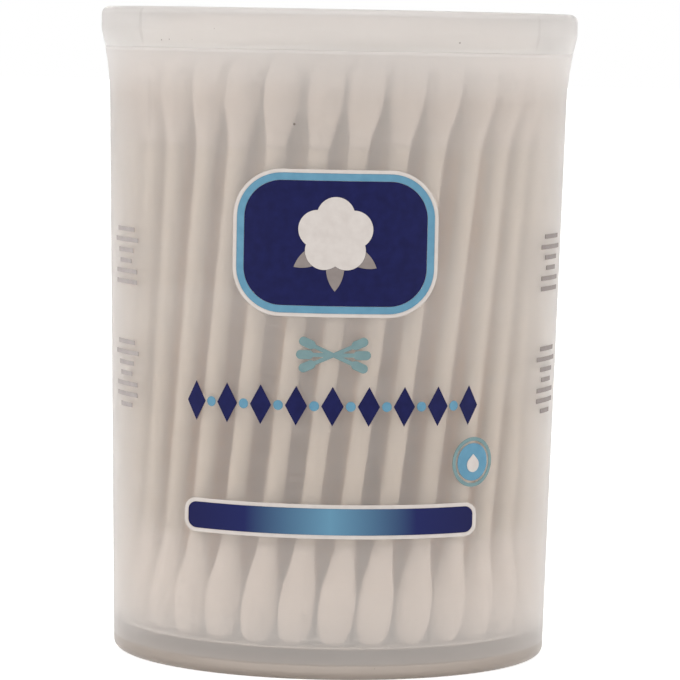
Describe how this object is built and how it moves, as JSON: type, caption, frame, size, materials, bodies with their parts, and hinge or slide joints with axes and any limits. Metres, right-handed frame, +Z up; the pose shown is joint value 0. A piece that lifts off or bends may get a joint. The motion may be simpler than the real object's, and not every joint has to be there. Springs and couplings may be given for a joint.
{
  "type": "cotton swab tub",
  "caption": "Round frosted plastic tub with a lift-off lid, filled with an upright twisted bundle of paper-stemmed cotton swabs.",
  "frame": {"origin": "centre of the base, on the plane of the foot ring", "axes": "+Z up along the tub's axis, the printed front faces -Y, +X to the viewer's right"},
  "size_m": [0.06, 0.06, 0.081],
  "materials": {
    "frosted_tub": "frosted natural polypropylene, moulded",
    "frosted_lid": "frosted natural polypropylene, moulded",
    "rolled_paper": "white rolled paper",
    "cotton_wool": "wound cotton wool",
    "navy_ink": "screen print, matt",
    "light_blue_ink": "screen print, matt",
    "strip_ink": "screen print that fades from navy to light blue and back",
    "teal_grey_ink": "screen print, matt",
    "taupe_ink": "screen print, matt",
    "pale_ink": "screen print, matt"
  },
  "bodies": {
    "tub": {"tub": "frosted_tub", "core_stems": "rolled_paper", "stems_ring_2": "rolled_paper", "stems_ring_3": "rolled_paper", "stems_ring_4": "rolled_paper", "stems_ring_5": "rolled_paper", "core_lower_tips": "cotton_wool", "lower_tips_ring_2": "cotton_wool", "lower_tips_ring_3": "cotton_wool", "lower_tips_ring_4": "cotton_wool", "lower_tips_ring_5": "cotton_wool", "core_upper_tips": "cotton_wool", "upper_tips_ring_2": "cotton_wool", "upper_tips_ring_3": "cotton_wool", "upper_tips_ring_4": "cotton_wool", "upper_tips_ring_5": "cotton_wool", "badge_panel": "navy_ink", "badge_border": "light_blue_ink", "badge_keyline": "pale_ink", "cotton_flower": "pale_ink", "flower_calyx": "taupe_ink", "crossed_swabs": "teal_grey_ink", "title_lozenges": "navy_ink", "title_dots": "light_blue_ink", "strip_field": "strip_ink", "strip_keyline": "pale_ink", "roundel_disc": "light_blue_ink", "roundel_ring": "teal_grey_ink", "roundel_drop": "pale_ink", "left_bars": "taupe_ink", "right_bars": "taupe_ink"},
    "lid": {"lid": "frosted_lid"}
  },
  "joints": [
    {"name": "lid_lift", "type": "slide", "parent": "tub", "child": "lid", "axis": [0, 0, 1], "range_m": [0, 0.03]}
  ]
}
